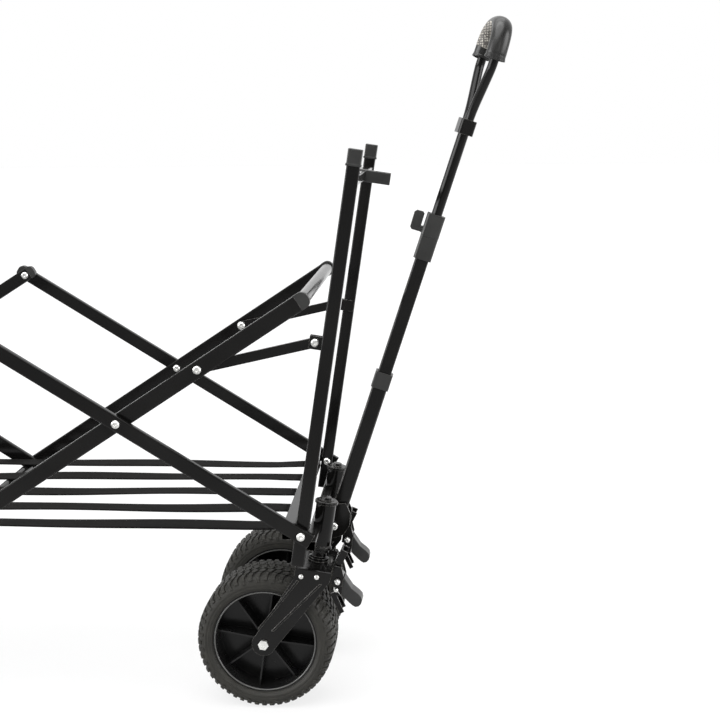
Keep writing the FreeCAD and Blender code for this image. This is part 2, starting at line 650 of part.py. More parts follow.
def stem(label):
    """Swivel pin through the head tube, with its neck below and lock nut above."""
    return turned(label, [
        ("0", "sizes.fork_top"), ("sizes.neck_r + 2", "sizes.fork_top"),
        ("sizes.neck_r + 2", "sizes.fork_top + 5"), ("sizes.neck_r - 2", "sizes.fork_top + 7"),
        ("sizes.neck_r - 2", "sizes.head_bottom - 6"), ("sizes.neck_r + 1", "sizes.head_bottom - 4"),
        ("sizes.neck_r + 1", "sizes.head_bottom - 0.4"), ("sizes.head_bore", "sizes.head_bottom - 0.4"),
        ("sizes.head_bore", "sizes.head_bottom + 12"), ("sizes.stem_r", "sizes.head_bottom + 13"),
        ("sizes.stem_r", "sizes.head_top - 8"), ("sizes.head_bore", "sizes.head_top - 7"),
        ("sizes.head_bore", "sizes.head_top + 0.5"), ("sizes.stem_r", "sizes.head_top + 0.5"),
        ("sizes.stem_r - 1", "sizes.head_top + 5"), ("0", "sizes.head_top + 5")])


def cheek_bolt(label):
    """A dome-headed rivet on the outside of the fork."""
    return turned(label, [("0", "0"), ("4", "0"), ("3.6", "1.4"), ("2", "2.4"), ("0", "2.6")])


def plate_across(label, outline, half, holes=()):
    """A piece cut from plate: an outline in the XZ plane, given thickness along Y."""
    body = new_body(label)
    drawing = sketch(body, "XZ_Plane")
    polygon(drawing, outline)
    pad(body, drawing, "2*(%s)" % half, middle=True)
    if holes:
        holes_across(body, "sizes.bolt_r + 0.3", holes)
    return body


def brake_bracket(label):
    """Two cheeks and a back web on the front of the fork head, round the brake pin."""
    x, z, half = "sizes.brake_x", "sizes.brake_z", "sizes.brake_half"
    body = plate_across(label, [
        ("%s - 9.5" % x, "%s + 24" % z), ("%s + 3" % x, "%s + 24" % z), ("%s + 9" % x, "%s + 8" % z),
        ("%s + 8" % x, "%s - 8" % z), ("%s - 9.5" % x, "%s - 7" % z)],
        "%s + 5" % half, [(x, z)])
    gap = sketch(body, "XY_Plane", "%s - 30" % z)
    rectangle(gap, "40", "2*%s + 4.6" % half, "%s + 12.7" % x)
    cut = pocket(body, gap, "80")
    cut.Reversed = True
    return body


def brake_lever(label):
    """Pressed rocker of the foot brake: a release channel above the pin, a shoe channel below it."""
    x, z = "sizes.brake_x", "sizes.brake_z"

    def at(points):
        return [("%s + (%g)" % (x, a), "%s + (%g)" % (z, b)) for a, b in points]

    body = plate_across(label, at([
        (-5.5, -5), (-5.5, 20), (-6.5, 34), (-1.2, 50.7), (10.1, 47.7), (3, 27), (5, 12), (9, 4), (9, -25),
        (2, -26), (17.2, -50.4), (11.6, -54.4), (-9, -24), (-5, -12)]), "sizes.brake_half", [(x, z)])
    for points in ([(-3.5, 14), (-4.5, 33.6), (0.6, 49.6), (2, 60), (30, 60), (30, 14)],
                   [(-7.3, -22.9), (13.3, -53.3), (14.5, -58), (30, -58), (30, -20)]):
        inside = sketch(body, "XZ_Plane")
        polygon(inside, at(points))
        pocket(body, inside, "2*sizes.brake_half - 4.4", middle=True)
    holes_across(body, "sizes.rivet_r", at([(-1.1, -17)]))
    return body


def brake_pedal(label):
    """Moulded foot pad with a rounded tip."""
    x, z = "sizes.brake_x", "sizes.brake_z"
    corners = [(9.3, 5.5), (24, -11), (36, -18.2), (41.1, -22.6), (43, -28), (42, -33.8), (38.6, -38.4),
               (33.5, -40), (28.5, -38), (22.6, -34.1), (9.3, -24)]
    body = plate_across(label, [("%s + (%g)" % (x, a), "%s + (%g)" % (z, b)) for a, b in corners],
                        "sizes.brake_half - 1")
    round_edges(body, body.Tip, "1.5", lambda edge: edge.BoundBox.YLength < 0.01
                and edge.BoundBox.XMax > size("brake_x") + 9.4)
    return body


trail, drop = "-sizes.trail", "sizes.axle_drop"
for word, sign in (("right", -1), ("left", 1)):
    base = swivel[word]
    centre = base.multiply(frame(-size("trail"), 0, -size("axle_drop"), ALONG_Y))
    yoke = fork("caster_yoke_" + word, "-30", "27", "sizes.fork_top", trail, drop, [
        ("-25", "-21", "-11"), ("11", "15", "11")])
    group("caster_fork_" + word, [put(yoke, base), put(stem("stem_" + word), base)])
    pieces = [put(axle("axle_" + word), centre)]
    for y, flip in ((-1, 90), (1, -90)):
        for x, z in ((-19, -89.5), (5.5, -86.5)):
            dome = cheek_bolt("rivet_%s_%d_%d" % (word, flip, x))
            pieces.append(put(dome, base.multiply(
                frame(x, y * size("fork_half"), z, turn((1, 0, 0), flip)))))
    group("caster_fasteners_" + word, pieces)
    single(put(tyre("front_tyre_" + word), centre))
    single(put(wheel_hub("front_wheel_hub_" + word), centre))
    single(put(brake_bracket("brake_bracket_" + word), base))
    lever = put(brake_lever("brake_lever_" + word), base)
    pedal = put(brake_pedal("brake_pedal_pad_" + word), base)
    pin = put(bolt("brake_pin_" + word, "2*sizes.brake_half + 10.4", head="5"), base.multiply(
        frame(size("brake_x"), 0, size("brake_z"), ALONG_Y)))
    small = rivet("brake_rivet_" + word, "2*sizes.brake_half", "sizes.rivet_r - 0.1", "4")
    put(small, base.multiply(frame(size("brake_x") - 1.1, 0, size("brake_z") - 17, ALONG_Y)))
    group("brake_pedal_" + word, [lever, pedal, pin, small])

# Rear wheels sit on fixed forks under the rear posts.
rear_forks, rear_axles = [], []
rear_out = size("rear_wheel_y")
for word, sign in (("right", 1), ("left", -1)):
    base = REAR.multiply(post_frame.multiply(frame(0, sign * rear_out, 0)))
    centre = base.multiply(frame(size("rear_axle_out"), 0, -size("rear_axle_drop"), ALONG_Y))
    rear_forks.append(put(fork("rear_fork_" + word, "-28", "28", "sizes.rear_fork_top", "sizes.rear_axle_out",
                               "sizes.rear_axle_drop", [("-22", "-18", "-11"), ("18", "22", "11")]), base))
    rear_axles.append(put(axle("rear_axle_" + word), centre))
    single(put(tyre("rear_tyre_" + word), centre))
    single(put(wheel_hub("rear_wheel_hub_" + word), centre))
group("rear_forks", rear_forks)
group("rear_frame_bolts", frame_bolts["rear"] + rear_axles)

# ---------------------------------------------------------------- pull pole
clip = new_body("handle_clip")
clip_outline = sketch(clip, "XY_Plane", "-sizes.clip_height/2")
half, slot, front = "sizes.clip_width/2", "sizes.clip_slot/2", "sizes.clip_reach"
polygon(clip_outline, [
    ("-sizes.rail_size/2 - 3", "-%s" % half), (front, "-%s" % half), (front, "-%s + 1.2" % slot),
    ("%s - 6" % front, "-%s" % slot), ("sizes.rail_size/2 + 15", "-%s" % slot),
    ("sizes.rail_size/2 + 15", slot), ("%s - 6" % front, slot), (front, "%s - 1.2" % slot),
    (front, half), ("-sizes.rail_size/2 - 3", half)])
block = pad(clip, clip_outline, "sizes.clip_height")
round_edges(clip, block, "1.2", lambda edge: along(edge, (1, 0, 0)) and edge.Length > 50)
rail_hole = sketch(clip, "XZ_Plane")
rectangle(rail_hole, "sizes.rail_size + 0.2", "sizes.rail_size + 0.2")
pocket(clip, rail_hole, middle=True)
single(put(clip, post_frame.multiply(frame(0, 0, size("top_rail_at")))))

base_bracket = new_body("handle_base_bracket")
outline = sketch(base_bracket, "XZ_Plane")
polygon(outline, [("-16.2", "36"), ("14", "42"), ("24", "26"), ("26", "6"), ("18", "-12"), ("4", "-20"),
                  ("-10", "-16"), ("-20", "2"), ("-20.2", "16"), ("-16.2", "16")])
pad(base_bracket, outline, "38", middle=True)
gap = sketch(base_bracket, "YZ_Plane")
rectangle(gap, "31.5", "120")
pocket(base_bracket, gap, middle=True)
web = sketch(base_bracket, "XZ_Plane")
polygon(web, [("-20.2", "16"), ("-17.6", "16"), ("-17.6", "1"), ("-20", "1")])
pad(base_bracket, web, "38", middle=True)
holes_across(base_bracket, "sizes.bolt_hole_r", [("0", "0")])
single(put(base_bracket, frame(size("pole_x"), 0, size("pole_z"), turn((0, 1, 0), size("lean")))))


foot = new_body("pole_foot")
foot_outline = sketch(foot, "XZ_Plane")
circle(foot_outline, "15.5")
pad(foot, foot_outline, "29.6", middle=True)
foot_neck = sketch(foot, "XZ_Plane")
rectangle(foot_neck, "26", "16", "0", "14")
pad(foot, foot_neck, "26", middle=True)
holes_across(foot, "sizes.bolt_hole_r", [("0", "0")])
lower_tube = square_tube("pole_lower_shell", "sizes.lower_size", "sizes.lower_size", "sizes.lower_start + 7.5",
                         "sizes.lower_end - sizes.lower_start - 7.5", "sizes.pole_wall", "4")
group("pole_lower_tube", [put(lower_tube, pole_frame), put(foot, pole_frame)])


def collar(label, width, depth, low, high, bore, round_bore, corner="5"):
    """A moulded block round the pole with a bore through it."""
    body = new_body(label)
    outline = sketch(body, "XY_Plane", low)
    rectangle(outline, width, depth)
    solid = pad(body, outline, "(%s) - (%s)" % (high, low))
    solid = round_edges(body, solid, corner, lambda edge: along(edge, (0, 0, 1)))
    hole = sketch(body, "XY_Plane", low)
    if round_bore:
        circle(hole, bore)
    else:
        rectangle(hole, bore, bore)
    cut = pocket(body, hole, "(%s) - (%s)" % (high, low))
    cut.Reversed = True
    return body


lower_collar = collar("pole_lower_collar", "29.4", "29.4", "sizes.lower_end - 8", "sizes.lower_end + 19",
                      "sizes.middle_size + 0.3", False, "3")
socket = sketch(lower_collar, "XY_Plane", "sizes.lower_end - 8")
rectangle(socket, "sizes.lower_size + 0.1", "sizes.lower_size + 0.1")
cut = pocket(lower_collar, socket, "8.3")
cut.Reversed = True
single(put(lower_collar, pole_frame))

middle_tube = square_tube("pole_middle_tube", "sizes.middle_size", "sizes.middle_size", "sizes.middle_start",
                          "sizes.middle_end - sizes.middle_start", "sizes.pole_wall", "3.4")
single(put(middle_tube, pole_frame))
lock_low = collar("lock_lower_block", "29.4", "28.4", "467.3", "505.2", "sizes.middle_size + 0.1", False, "4.5")
lock_step = sketch(lock_low, "XY_Plane", "sizes.middle_end + 0.2")
rectangle(lock_step, "24", "24")
circle(lock_step, "sizes.upper_r + 0.4")
pad(lock_low, lock_step, "23")
lock_high = collar("lock_upper_block", "30", "29", "505.5", "543", "sizes.upper_r + 0.4", True, "5.5")
lock_pivot = [("-16", "514")]
ears = sketch(lock_high, "XZ_Plane")
circle(ears, "4.8", *lock_pivot[0])
pad(lock_high, ears, "21", middle=True)
seat = sketch(lock_high, "XZ_Plane")
rectangle(seat, "12", "38", "-17.3", "526")
pocket(lock_high, seat, "13", middle=True)
holes_across(lock_high, "1.9", lock_pivot)
group("pole_lock_body", [put(lock_low, pole_frame), put(lock_high, pole_frame)])

lever = plate_across("lock_lever_flap", [
    ("-20", "509.2"), ("-31.5", "509"), ("-35", "512.5"), ("-35.6", "537"), ("-32", "541"), ("-22", "541.5"),
    ("-19", "539"), ("-18.6", "519"), ("-12.4", "517"), ("-12.4", "511.5"), ("-14.5", "510")], "6")
holes_across(lever, "1.7", lock_pivot)
lock_pin = new_body("lock_lever_pin")
pin_end = sketch(lock_pin, "XZ_Plane")
circle(pin_end, "1.6", *lock_pivot[0])
pad(lock_pin, pin_end, "20.6", middle=True)
group("pole_lock_lever", [put(lever, pole_frame), put(lock_pin, pole_frame)])

upper_tube = round_tube("pole_upper_tube", "sizes.upper_r", "sizes.pole_wall", "sizes.upper_start",
                        "sizes.upper_end - sizes.upper_start")
single(put(upper_tube, pole_frame))


def swept(label, section_a, section_b, path, start):
    """A bar of oval section swept along a smooth path; sizes come from the sheet."""
    item = doc.addObject("Part::Feature", label)
    item.Label = label
    oval = Part.Ellipse(start, section_a, section_b) if section_a > section_b else Part.Circle(
        start, V(0, 0, 1), section_a)
    item.Shape = Part.Wire(path).makePipeShell([Part.Wire(oval.toShape())], True, False)
    return item


twist = turn((0, 0, 1), size("yoke_twist"))
reach, wire_r = size("grip_half"), size("yoke_r")
leg_curve = Part.BSplineCurve()
leg_curve.interpolate([V(0, 8.2, 0), V(0, 9.5, 22), V(0, 26, 62), V(0, 43, 96), V(0, reach, 122)],
                      InitialTangent=V(0, 0, 1), FinalTangent=V(0, 0, 1))
leg = swept("yoke_leg", wire_r, wire_r, [leg_curve.toShape()], V(0, 8.2, 0))
put(leg, pole_frame.multiply(frame(0, 0, size("upper_end") + 0.5, twist)))
other_leg = doc.addObject("Part::Feature", "yoke_leg_right")
other_leg.Shape = leg.Shape.copy()
other_leg.Placement = leg.Placement.multiply(frame(0, 0, 0, turn((0, 0, 1), 180)))
yoke_shape = leg.Shape.fuse(other_leg.Shape).removeSplitter()
doc.removeObject(other_leg.Name)
doc.removeObject(leg.Name)
yoke = doc.addObject("Part::Feature", "yoke_legs")
yoke.Shape = yoke_shape
yoke_collar = collar("pole_yoke_collar", "25.6", "36", "sizes.upper_end - 8", "sizes.upper_end + 16",
                     "sizes.upper_r + 0.1", True, "6")
put(yoke_collar, pole_frame.multiply(frame(0, 0, 0, twist)))
yoke_band = doc.addObject("Part::Cut", "pole_yoke_band")
yoke_band.Base = yoke_collar
yoke_band.Tool = yoke
group("pole_yoke", [yoke, yoke_band])

arch = Part.BSplineCurve()
arch.interpolate([V(0, reach, 116), V(0, reach, 126), V(0, 36, 158), V(0, 0, 171), V(0, -36, 158),
                  V(0, -reach, 126), V(0, -reach, 116)], InitialTangent=V(0, 0, 1), FinalTangent=V(0, 0, -1))
grip = swept("handle_grip", size("grip_a"), size("grip_b"), [arch.toShape()], V(0, reach, 116))
put(grip, pole_frame.multiply(frame(0, 0, size("upper_end") + 0.5, twist)))
grip_cut = grip.Shape.cut(yoke.Shape)
grip_place = FreeCAD.Placement(grip.Placement)
grip.Shape = grip_cut
single(grip)

# ---------------------------------------------------------------- checks and files
doc.recompute()
for item in doc.Objects:
    if "Invalid" in item.State or "Error" in item.State:
        raise RuntimeError("feature in error: %s %s" % (item.Label, item.State))
os.makedirs("parts", exist_ok=True)
for old in os.listdir("parts"):
    os.remove(os.path.join("parts", old))
to_origin = frame(-size("origin_x"), 0, 0)
for node in nodes:
    node.Placement = to_origin.multiply(node.Placement)
doc.recompute()
for node in nodes:
    if node.Shape.isNull() or not node.Shape.isValid():
        raise RuntimeError("bad shape: %s" % node.Label)
    node.Shape.exportStep("parts/%s.step" % node.Label)
    print(node.Label, len(node.Shape.Solids), round(node.Shape.Volume / 1000, 1), "cm3")
print(len(nodes), "nodes")
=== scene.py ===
import json
import math

import bpy
import numpy as np
from mathutils import Matrix, Vector


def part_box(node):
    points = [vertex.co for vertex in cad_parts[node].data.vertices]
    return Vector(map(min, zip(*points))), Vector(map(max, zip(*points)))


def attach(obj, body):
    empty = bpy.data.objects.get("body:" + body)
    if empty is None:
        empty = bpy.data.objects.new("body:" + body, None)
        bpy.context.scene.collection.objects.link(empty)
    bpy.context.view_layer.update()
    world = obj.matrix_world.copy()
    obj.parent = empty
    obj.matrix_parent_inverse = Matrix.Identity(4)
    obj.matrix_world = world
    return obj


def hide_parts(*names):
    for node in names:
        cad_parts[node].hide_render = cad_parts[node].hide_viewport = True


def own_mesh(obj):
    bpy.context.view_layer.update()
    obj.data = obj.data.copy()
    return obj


# Folding camp wagon frame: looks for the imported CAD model.
# Metres; +X forward (pull pole end), +Y left, +Z up, ground at z = 0.
# The floor is lit evenly near the wagon and falls off towards -Y, so that the black paint stays dark.
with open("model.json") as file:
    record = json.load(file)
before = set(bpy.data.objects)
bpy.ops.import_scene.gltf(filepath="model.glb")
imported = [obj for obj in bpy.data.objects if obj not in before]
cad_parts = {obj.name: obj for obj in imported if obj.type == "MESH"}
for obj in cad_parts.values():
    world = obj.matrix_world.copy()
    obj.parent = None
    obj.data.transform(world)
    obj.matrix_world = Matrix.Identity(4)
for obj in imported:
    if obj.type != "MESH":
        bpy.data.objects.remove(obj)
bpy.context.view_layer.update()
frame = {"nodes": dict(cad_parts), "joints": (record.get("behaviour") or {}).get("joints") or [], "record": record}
NODES = frame["nodes"]
JOINTS = {joint["name"]: joint for joint in frame["joints"]}
MM = 0.001

# ------------------------------------------------------------------ camera, floor and light
CAMERA_AT = (0.64776, -2.3325, 0.91915)
CAMERA_YAW, CAMERA_PITCH, CAMERA_ROLL = -0.058, 0.162, 0.009
CAMERA_FOCAL = 1437.8 / 720 * 36
# studio soft boxes: direction, cosine where each begins and is full, strength
SOFT_BOXES = [((-0.15, -0.30, 0.94), 0.80, 0.90, 5.0), ((-0.93, -0.32, 0.16), 0.88, 0.95, 7.0),
              ((0.95, -0.26, 0.16), 0.90, 0.96, 6.0)]


def make_camera():
    yaw, pitch, roll = CAMERA_YAW, CAMERA_PITCH, CAMERA_ROLL
    forward = Vector((math.sin(yaw) * math.cos(pitch), math.cos(yaw) * math.cos(pitch), -math.sin(pitch)))
    right = Vector((math.cos(yaw), -math.sin(yaw), 0.0))
    down = forward.cross(right)
    rolled = math.cos(roll) * right + math.sin(roll) * down
    up = -forward.cross(rolled)
    turn = Matrix((rolled, up, -forward)).transposed()
    data = bpy.data.cameras.new("photo_camera")
    data.sensor_width = 36
    data.lens = CAMERA_FOCAL
    data.clip_start, data.clip_end = 0.05, 50
    camera = bpy.data.objects.new("photo_camera", data)
    camera.matrix_world = Matrix.Translation(CAMERA_AT) @ turn.to_4x4()
    bpy.context.scene.collection.objects.link(camera)
    bpy.context.scene.camera = camera


def area_light(name, at, towards, size, power, colour=(1, 1, 1)):
    data = bpy.data.lights.new(name, "AREA")
    data.shape = "RECTANGLE"
    data.size, data.size_y = size
    data.energy = power
    data.color = colour
    light = bpy.data.objects.new(name, data)
    light.location = at
    light.rotation_mode = "QUATERNION"
    light.rotation_quaternion = (Vector(towards) - Vector(at)).to_track_quat("-Z", "Y")
    bpy.context.scene.collection.objects.link(light)


def make_stage():
    """A pale floor that fades into a bright studio; the studio is darker behind the camera."""
    corners = [(-30, -30, 0), (30, -30, 0), (30, 30, 0), (-30, 30, 0)]
    floor = mesh_object("studio_floor", corners, [(0, 1, 2, 3)])
    material, nodes, links, shader = new_material("studio_floor")
    shader.inputs["Base Color"].default_value = (0.12, 0.12, 0.12, 1)
    shader.inputs["Roughness"].default_value = 0.9
    shader.inputs["Specular IOR Level"].default_value = 0.1
    shader.inputs["Emission Color"].default_value = (1, 1, 1, 1)
    place = nodes.new("ShaderNodeTexCoord")
    apart = nodes.new("ShaderNodeSeparateXYZ")
    links.new(place.outputs["Object"], apart.inputs[0])
    links.new(ramp_node(nodes, links, apart.outputs["Y"], -2.4, -0.8, 0.40, 0.80),
              shader.inputs["Emission Strength"])
    floor.data.materials.append(material)

    world = bpy.data.worlds.new("studio")
    bpy.context.scene.world = world
    world.use_nodes = True
    tree = world.node_tree
    background = tree.nodes["Background"]
    where = tree.nodes.new("ShaderNodeTexCoord")
    split = tree.nodes.new("ShaderNodeSeparateXYZ")
    tree.links.new(where.outputs["Generated"], split.inputs[0])
    wall = tree.nodes.new("ShaderNodeMapRange")
    wall.interpolation_type = "SMOOTHSTEP"
    wall.inputs["From Min"].default_value = -0.55
    wall.inputs["From Max"].default_value = 0.15
    wall.inputs["To Min"].default_value = 0.42
    wall.inputs["To Max"].default_value = 1.0
    tree.links.new(split.outputs["Y"], wall.inputs["Value"])
    total = wall.outputs[0]
    for towards, begins, full, strength in SOFT_BOXES:
        lean = tree.nodes.new("ShaderNodeVectorMath")
        lean.operation = "DOT_PRODUCT"
        lean.inputs[1].default_value = Vector(towards).normalized()
        tree.links.new(where.outputs["Generated"], lean.inputs[0])
        box = tree.nodes.new("ShaderNodeMapRange")
        box.interpolation_type = "SMOOTHSTEP"
        box.inputs["From Min"].default_value = begins
        box.inputs["From Max"].default_value = full
        box.inputs["To Min"].default_value = 0.0
        box.inputs["To Max"].default_value = strength
        tree.links.new(lean.outputs["Value"], box.inputs["Value"])
        both = tree.nodes.new("ShaderNodeMath")
        both.operation = "ADD"
        tree.links.new(total, both.inputs[0])
        tree.links.new(box.outputs[0], both.inputs[1])
        total = both.outputs[0]
    background.inputs["Color"].default_value = (1, 1, 1, 1)
    tree.links.new(total, background.inputs["Strength"])
    bpy.context.scene.view_settings.view_transform = "Standard"

    area_light("top_soft_light", (0.2, 0.6, 2.9), (0.3, 0.0, 0.4), (2.6, 1.6), 22)
    area_light("front_fill_light", (1.8, -2.6, 1.9), (0.4, 0.0, 0.3), (0.9, 0.9), 5)
    area_light("low_left_light", (-1.7, -1.9, 0.9), (0.3, 0.0, 0.2), (0.8, 1.0), 4)


# ------------------------------------------------------------------ mesh helpers
def mesh_object(name, vertices, faces, material=None, smooth=False):
    mesh = bpy.data.meshes.new(name)
    mesh.from_pydata([tuple(v) for v in vertices], [], faces)
    mesh.validate()
    mesh.update()
    if smooth:
        mesh.polygons.foreach_set("use_smooth", [True] * len(mesh.polygons))
    piece = bpy.data.objects.new(name, mesh)
    bpy.context.scene.collection.objects.link(piece)
    if material is not None:
        mesh.materials.append(material)
    return piece


def solids(node):
    """Boxes (low, high) of the separate solids in a CAD node, sorted by place."""
    mesh = NODES[node].data
    count = len(mesh.vertices)
    points = np.zeros(count * 3)
    mesh.vertices.foreach_get("co", points)
    points = points.reshape(-1, 3)
    keys = {}
    welded = np.empty(count, int)
    for k, point in enumerate(np.round(points, 6)):
        welded[k] = keys.setdefault(tuple(point), len(keys))
    parent = list(range(len(keys)))

    def root(k):
        while parent[k] != k:
            parent[k] = parent[parent[k]]
            k = parent[k]
        return k

    for edge in mesh.edges:
        a, b = root(welded[edge.vertices[0]]), root(welded[edge.vertices[1]])
        parent[a] = b
    groups = {}
    for k in range(count):
        groups.setdefault(root(welded[k]), []).append(points[k])
    boxes = [(np.min(g, axis=0), np.max(g, axis=0), np.mean(g, axis=0)) for g in groups.values()]
    return sorted(boxes, key=lambda b: tuple(np.round(b[0], 4)))


# ------------------------------------------------------------------ material helpers
def new_material(name):
    material = bpy.data.materials.new(name)
    material.use_nodes = True
    nodes, links = material.node_tree.nodes, material.node_tree.links
    return material, nodes, links, nodes["Principled BSDF"]


def noise_node(nodes, links, scale, detail=3.0, rough=0.55, stretch=None):
    coordinates = nodes.new("ShaderNodeTexCoord")
    texture = nodes.new("ShaderNodeTexNoise")
    texture.inputs["Scale"].default_value = scale
    texture.inputs["Detail"].default_value = detail
    texture.inputs["Roughness"].default_value = rough
    if stretch is None:
        links.new(coordinates.outputs["Object"], texture.inputs["Vector"])
    else:
        mapping = nodes.new("ShaderNodeMapping")
        mapping.inputs["Scale"].default_value = stretch
        links.new(coordinates.outputs["Object"], mapping.inputs["Vector"])
        links.new(mapping.outputs[0], texture.inputs["Vector"])
    return texture.outputs["Fac"]


def ramp_node(nodes, links, value, low, high, to_low=0.0, to_high=1.0):
    node = nodes.new("ShaderNodeMapRange")
    node.inputs["From Min"].default_value = low
    node.inputs["From Max"].default_value = high
    node.inputs["To Min"].default_value = to_low
    node.inputs["To Max"].default_value = to_high
    links.new(value, node.inputs["Value"])
    return node.outputs[0]


def mix_colour(nodes, links, factor, first, second):
    node = nodes.new("ShaderNodeMix")
    node.data_type = "RGBA"
    links.new(factor, node.inputs["Factor"])
    for socket, value in ((node.inputs["A"], first), (node.inputs["B"], second)):
        if isinstance(value, tuple):
            socket.default_value = (*value, 1)
        else:
            links.new(value, socket)
    return node.outputs["Result"]


def edge_mask(nodes, links, radius):
    """About 1 along sharp edges and 0 on flat faces, with the rounded normal that goes with it."""
    bevel = nodes.new("ShaderNodeBevel")
    bevel.samples = 4
    bevel.inputs["Radius"].default_value = radius
    geometry = nodes.new("ShaderNodeNewGeometry")
    dot = nodes.new("ShaderNodeVectorMath")
    dot.operation = "DOT_PRODUCT"
    links.new(bevel.outputs[0], dot.inputs[0])
    links.new(geometry.outputs["Normal"], dot.inputs[1])
    return ramp_node(nodes, links, dot.outputs["Value"], 0.995, 0.80), bevel.outputs[0]


def bump_node(nodes, links, height, strength, distance, normal=None):
    node = nodes.new("ShaderNodeBump")
    node.inputs["Strength"].default_value = strength
    node.inputs["Distance"].default_value = distance
    links.new(height, node.inputs["Height"])
    if normal is not None:
        links.new(normal, node.inputs["Normal"])
    return node.outputs[0]


def painted_steel(name="black_powder_coat", colour=(0.0022, 0.0021, 0.0020), roughness=(0.10, 0.18)):
    """Gloss black powder coat: orange peel, faint dust, and a pale colour along the edges that is a painted
    highlight, broken up by noise.
    """
    material, nodes, links, shader = new_material(name)
    edges, rounded = edge_mask(nodes, links, 0.0014)
    patches = noise_node(nodes, links, 9, 4, 0.6)
    # noise that breaks up the painted edge highlight
    edge_highlight_breakup = noise_node(nodes, links, 160, 4, 0.65)
    painted_edge_highlight = nodes.new("ShaderNodeMath")
    painted_edge_highlight.operation = "MULTIPLY"
    links.new(edges, painted_edge_highlight.inputs[0])
    links.new(ramp_node(nodes, links, edge_highlight_breakup, 0.36, 0.60), painted_edge_highlight.inputs[1])
    tint = mix_colour(nodes, links, ramp_node(nodes, links, patches, 0.35, 0.75), colour,
                      tuple(c * 1.8 + 0.0010 for c in colour))
    # pale colour along the sharp edges: a painted highlight standing in for the edge glints
    links.new(mix_colour(nodes, links, painted_edge_highlight.outputs[0], tint, (0.15, 0.145, 0.132)),
              shader.inputs["Base Color"])
    links.new(ramp_node(nodes, links, patches, 0.3, 0.8, *roughness), shader.inputs["Roughness"])
    peel = noise_node(nodes, links, 700, 2, 0.5)
    wave = noise_node(nodes, links, 55, 2, 0.5)
    first = bump_node(nodes, links, wave, 0.10, 0.0006, rounded)
    links.new(bump_node(nodes, links, peel, 0.10, 0.00012, first), shader.inputs["Normal"])
    shader.inputs["Specular IOR Level"].default_value = 0.19
    return material


def zinc_steel(name="zinc_plate"):
    material, nodes, links, shader = new_material(name)
    edges, rounded = edge_mask(nodes, links, 0.0004)
    cloud = noise_node(nodes, links, 220, 4, 0.6)
    tint = mix_colour(nodes, links, ramp_node(nodes, links, cloud, 0.35, 0.7), (0.78, 0.78, 0.76),
                      (0.52, 0.52, 0.50))
    links.new(tint, shader.inputs["Base Color"])
    shader.inputs["Metallic"].default_value = 0.92
    links.new(ramp_node(nodes, links, cloud, 0.3, 0.75, 0.22, 0.42), shader.inputs["Roughness"])
    grain = noise_node(nodes, links, 1500, 2, 0.5)
    links.new(bump_node(nodes, links, grain, 0.15, 0.0001, rounded), shader.inputs["Normal"])
    return material


def moulded_plastic(name, colour, roughness, grain=0.25, scale=1400, level=0.5):
    """Moulded plastic: fine spark texture, soft mottling and paler worn edges."""
    material, nodes, links, shader = new_material(name)
    edges, rounded = edge_mask(nodes, links, 0.0007)
    cloud = noise_node(nodes, links, 26, 4, 0.6)
    tint = mix_colour(nodes, links, ramp_node(nodes, links, cloud, 0.3, 0.75), colour,
                      tuple(c * 1.35 + 0.002 for c in colour))
    worn = nodes.new("ShaderNodeMath")
    worn.operation = "MULTIPLY"
    links.new(edges, worn.inputs[0])
    worn.inputs[1].default_value = 0.35
    links.new(mix_colour(nodes, links, worn.outputs[0], tint, tuple(c * 2.2 + 0.02 for c in colour)),
              shader.inputs["Base Color"])
    links.new(ramp_node(nodes, links, cloud, 0.3, 0.75, roughness - 0.05, roughness + 0.07),
              shader.inputs["Roughness"])
    shader.inputs["Specular IOR Level"].default_value = level
    spark = noise_node(nodes, links, scale, 2, 0.6)
    links.new(bump_node(nodes, links, spark, grain, 0.00015, rounded), shader.inputs["Normal"])
    return material


def tyre_rubber(name, dust_and_top_light):
    """Moulded foam rubber: matt and a little dusty; the amount argument makes the pale dust colour heavier, and on
    the tread block tops this paints them lighter than the grooves, partly dust and partly painted light.
    """
    material, nodes, links, shader = new_material(name)
    cloud = noise_node(nodes, links, 30, 5, 0.65)
    specks = noise_node(nodes, links, 420, 3, 0.6)
    tint = mix_colour(nodes, links, ramp_node(nodes, links, cloud, 0.3, 0.72), (0.013, 0.0125, 0.0108),
                      (0.022, 0.021, 0.0176))
    # pale dust colour: at amount 1 (the tread block tops) it is partly dust and partly painted light
    dust = ramp_node(nodes, links, specks, 0.62 - 0.25 * dust_and_top_light, 0.78, 0.0, 0.35 + 0.45 * dust_and_top_light)
    links.new(mix_colour(nodes, links, dust, tint, (0.085, 0.081, 0.064)), shader.inputs["Base Color"])
    links.new(ramp_node(nodes, links, cloud, 0.3, 0.75, 0.50, 0.66), shader.inputs["Roughness"])
    shader.inputs["Specular IOR Level"].default_value = 0.24
    skin = noise_node(nodes, links, 900, 3, 0.6)
    links.new(bump_node(nodes, links, skin, 0.35, 0.0002), shader.inputs["Normal"])
    return material


def dotted_rubber(name="grip_patch_rubber"):
    """Soft rubber with rows of small moulded dots; the pale grey between the dots is a painted highlight, and the
    dots stay dark.
    """
    material, nodes, links, shader = new_material(name)
    coordinates = nodes.new("ShaderNodeTexCoord")
    cells = nodes.new("ShaderNodeTexVoronoi")
    cells.inputs["Scale"].default_value = 260
    cells.inputs["Randomness"].default_value = 0.15
    links.new(coordinates.outputs["Object"], cells.inputs["Vector"])
    dots = ramp_node(nodes, links, cells.outputs["Distance"], 0.30, 0.48)
    cloud = noise_node(nodes, links, 60, 3, 0.6)
    # painted highlight: pale grey standing in for light reflected off the patch
    pale = mix_colour(nodes, links, cloud, (0.30, 0.28, 0.24), (0.42, 0.40, 0.36))
    links.new(mix_colour(nodes, links, dots, pale, (0.06, 0.055, 0.05)), shader.inputs["Base Color"])
    shader.inputs["Roughness"].default_value = 0.55
    links.new(bump_node(nodes, links, dots, -0.6, 0.0008), shader.inputs["Normal"])
    return material


